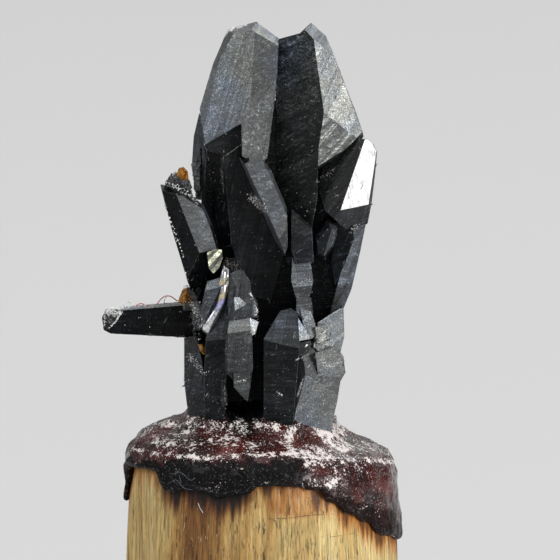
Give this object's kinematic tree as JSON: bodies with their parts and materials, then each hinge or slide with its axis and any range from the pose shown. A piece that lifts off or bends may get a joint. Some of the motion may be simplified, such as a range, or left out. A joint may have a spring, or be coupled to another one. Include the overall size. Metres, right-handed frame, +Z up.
{
  "type": "pyrargyrite crystal cluster on a wooden peg",
  "caption": "Cluster of dark steel-grey pyrargyrite crystals, one lying out to the side, cemented with dark red resin to the end of a pale wooden peg that stands on its flat cut foot.",
  "frame": {"origin": "centre of the peg's bottom face", "axes": "+Z up along the peg, -Y to the front"},
  "size_m": [0.0033, 0.003, 0.007],
  "materials": {
    "wood": "raw, fine upright grain",
    "cement": "glossy, dark red-brown resin with white dust",
    "pyrargyrite": "submetallic, dusty, some mirror-bright faces",
    "amber_grain": "glassy"
  },
  "bodies": {
    "root": {"peg": "wood", "cement": "cement", "pyrargyrite_crystals": "pyrargyrite", "grain_on_left_crystal": "amber_grain", "grain_at_flat_crystal": "amber_grain", "grain_on_outer_column": "amber_grain"}
  },
  "joints": []
}
